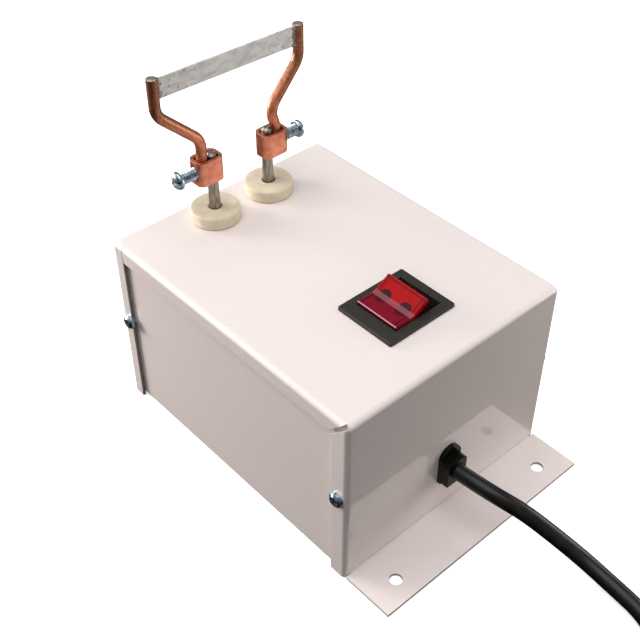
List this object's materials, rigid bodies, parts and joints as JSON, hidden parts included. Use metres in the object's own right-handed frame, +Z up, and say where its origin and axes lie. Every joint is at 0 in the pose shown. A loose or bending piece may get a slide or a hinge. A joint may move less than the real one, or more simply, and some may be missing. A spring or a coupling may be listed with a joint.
{
  "type": "spot welder",
  "caption": "Small bench resistance welder: folded steel transformer case, rocker switch, ceramic-bushed posts with clamp lugs, and bent copper arms bridged by a thin strip.",
  "frame": {"origin": "on the table, under the middle of the case and its mounting lip (free cord, coil and plug left out)", "axes": "+Z up; -Y is the front, where the posts and arms stand; +Y is the rear, with the mounting lip and the mains cord; +X is the right side"},
  "size_m": [0.1387, 0.312, 0.142],
  "materials": {
    "off_white_paint": "gloss",
    "zinc_steel": "satin",
    "tinned_brass": "satin",
    "ceramic": "matte",
    "copper": "satin",
    "resistance_strip": "oxidised",
    "switch_black": "fine texture",
    "rocker_red": "gloss, translucent",
    "spring_steel": "bright",
    "lamp_glass": "clear",
    "terminal_brass": "bright",
    "receptacle_sleeve": "satin",
    "lamination_steel": "oiled",
    "pressboard": "matte",
    "bobbin_nylon": "satin",
    "enamelled_wire": "gloss",
    "black_nylon": "satin",
    "black_cord": "satin",
    "wire_black": "satin",
    "wire_white": "satin",
    "wire_green": "satin",
    "plug_brass": "bright"
  },
  "bodies": {
    "base": {"cover": "off_white_paint", "chassis": "off_white_paint", "cover_screws": "zinc_steel", "core_studs": "zinc_steel", "core_nuts": "zinc_steel", "earth_stud": "zinc_steel", "earth_nut": "zinc_steel", "core_frame": "zinc_steel", "right_post": "tinned_brass", "left_post": "tinned_brass", "right_ceramic_washer": "ceramic", "left_ceramic_washer": "ceramic", "right_ceramic_ring": "ceramic", "left_ceramic_ring": "ceramic", "right_clamp_lug": "copper", "left_clamp_lug": "copper", "secondary_bar": "copper", "switch_body": "switch_black", "switch_terminals": "terminal_brass", "earth_ring": "terminal_brass", "spade_receptacles": "receptacle_sleeve", "laminations": "lamination_steel", "core_pad": "pressboard", "winding_wrap": "pressboard", "bobbin": "bobbin_nylon", "primary_winding": "enamelled_wire", "strain_relief": "black_nylon", "cord_tail": "black_cord", "cord": "black_cord", "cord_coil": "black_cord", "plug_body": "black_cord", "line_wire": "wire_black", "rear_primary_lead": "wire_black", "neutral_wire": "wire_white", "front_primary_lead": "wire_white", "earth_wire": "wire_green", "plug_pins": "plug_brass"},
    "rocker": {"rocker": "rocker_red", "switch_plungers": "switch_black", "plunger_springs": "spring_steel", "neon_lamp": "lamp_glass"},
    "contacts": {"contact_levers": "terminal_brass"},
    "tip": {"right_arm": "copper", "left_arm": "copper", "hot_strip": "resistance_strip"},
    "right_screw": {"right_clamp_screw": "zinc_steel"},
    "left_screw": {"left_clamp_screw": "zinc_steel"}
  },
  "joints": [
    {"name": "rocker_tilt", "type": "hinge", "parent": "base", "child": "rocker", "pos_m": [-0.001, 0.0228, 0.0695], "axis": [0, 1, 0], "range_deg": [-31, 0]},
    {"name": "contact_tilt", "type": "hinge", "parent": "base", "child": "contacts", "pos_m": [-0.001, 0.0228, 0.0637], "axis": [0, 1, 0], "range_deg": [0, 16.2]},
    {"name": "tip_lift", "type": "slide", "parent": "base", "child": "tip", "axis": [0, 0, 1], "range_m": [0, 0.012]},
    {"name": "right_clamp", "type": "slide", "parent": "base", "child": "right_screw", "axis": [1, 0, 0], "range_m": [0, 0.005]},
    {"name": "left_clamp", "type": "slide", "parent": "base", "child": "left_screw", "axis": [-1, 0, 0], "range_m": [0, 0.005]}
  ],
  "couplings": [
    {"joint": "contact_tilt", "follows": "rocker_tilt", "ratio": -0.5161}
  ]
}
